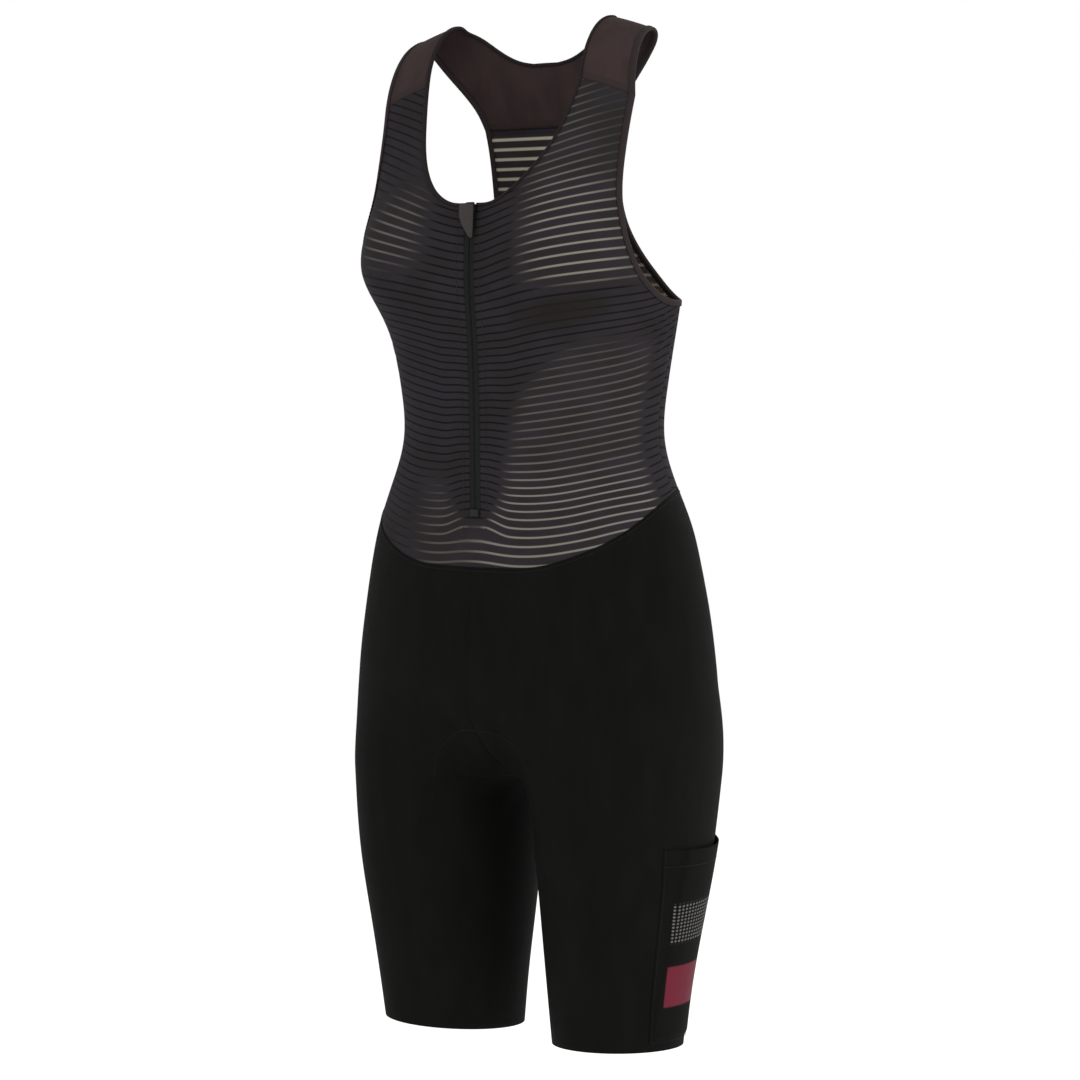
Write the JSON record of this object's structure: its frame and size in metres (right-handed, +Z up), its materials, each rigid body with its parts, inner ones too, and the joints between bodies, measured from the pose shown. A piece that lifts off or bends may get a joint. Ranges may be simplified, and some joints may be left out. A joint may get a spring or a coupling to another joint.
{
  "type": "cycling bib shorts",
  "caption": "Sleeveless cycling bib shorts filled out as worn, with a sheer striped bib, a front zip, a yoke with shoulder straps and a thigh pocket.",
  "frame": {"origin": "midway between the two shoulder straps, level with the highest line of their undersides and 4 mm behind it, where the wearer's shoulders carry the garment", "axes": "+Z up, +X to the wearer's left, +Y to the wearer's back (the front with the zip faces -Y)"},
  "size_m": [0.3312, 0.2185, 0.8505],
  "materials": {
    "striped_mesh": "warp-knit mesh with sheer stripes, matt",
    "yoke_knit": "close smooth knit, matt",
    "folded_elastic": "folded elastic tape, matt",
    "zip_tape": "woven zip tape with coil, matt",
    "slider_enamel": "dark enamel on cast zinc",
    "pull_rubber": "moulded rubber, satin",
    "shorts_knit": "dense stretch knit, matt black",
    "pocket_knit": "dense stretch knit with a printed motif, matt black"
  },
  "bodies": {
    "garment": {"front_bib": "striped_mesh", "back_bib": "striped_mesh", "yoke": "yoke_knit", "binding_neck": "folded_elastic", "binding_armhole_left": "folded_elastic", "binding_armhole_right": "folded_elastic", "zip_tape_left": "zip_tape", "zip_tape_right": "zip_tape", "zip_stop": "slider_enamel", "zip_slider": "slider_enamel", "shorts_left": "shorts_knit", "shorts_right": "shorts_knit", "pocket_left": "pocket_knit"},
    "puller": {"zip_pull": "pull_rubber"}
  },
  "joints": [
    {"name": "pull_swing", "type": "hinge", "parent": "garment", "child": "puller", "pos_m": [0, -0.09771, -0.1524], "axis": [-1, 0, 0], "range_deg": [0, 120]}
  ]
}
